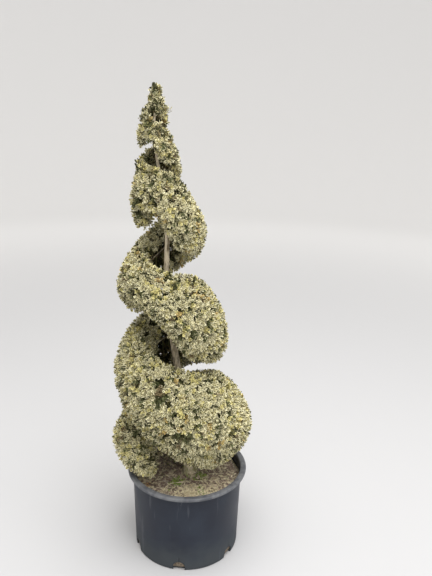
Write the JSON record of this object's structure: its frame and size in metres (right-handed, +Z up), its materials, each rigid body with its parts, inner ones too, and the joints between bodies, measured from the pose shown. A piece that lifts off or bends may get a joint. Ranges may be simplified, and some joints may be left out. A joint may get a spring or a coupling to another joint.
{
  "type": "potted boxwood spiral topiary",
  "caption": "Potted variegated boxwood clipped to a left-handed spiral round one leaning stem, in a round dark plastic nursery pot.",
  "frame": {"origin": "middle of the flat underside of the pot", "axes": "+Z up along the pot's axis, -Y towards the viewer, +X to the viewer's right; the crown leans to -X"},
  "size_m": [0.4397, 0.4314, 1.47],
  "materials": {
    "pot_plastic": "matte charcoal plastic with faint scuffs and a paler rolled rim",
    "potting_soil": "dry bark and peat potting mix with straw-coloured litter and moss",
    "bark": "light tan ridged bark",
    "foliage": "small leathery leaves, green with cream margins"
  },
  "bodies": {
    "root": {"pot": "pot_plastic", "soil": "potting_soil", "trunk": "bark", "foliage_foot": "foliage", "foliage_back_1": "foliage", "foliage_front_1": "foliage", "foliage_back_2": "foliage", "foliage_front_2": "foliage", "foliage_back_3": "foliage", "foliage_front_3": "foliage", "foliage_back_4": "foliage", "foliage_front_4": "foliage", "foliage_back_5": "foliage", "foliage_tip": "foliage", "bough_foot": "bark", "bough_back_1": "bark", "bough_front_1": "bark", "bough_back_2": "bark", "bough_front_2": "bark", "bough_back_3": "bark", "bough_front_3": "bark", "bough_back_4": "bark", "bough_front_4": "bark", "bough_back_5": "bark", "bough_tip": "bark"}
  },
  "joints": []
}
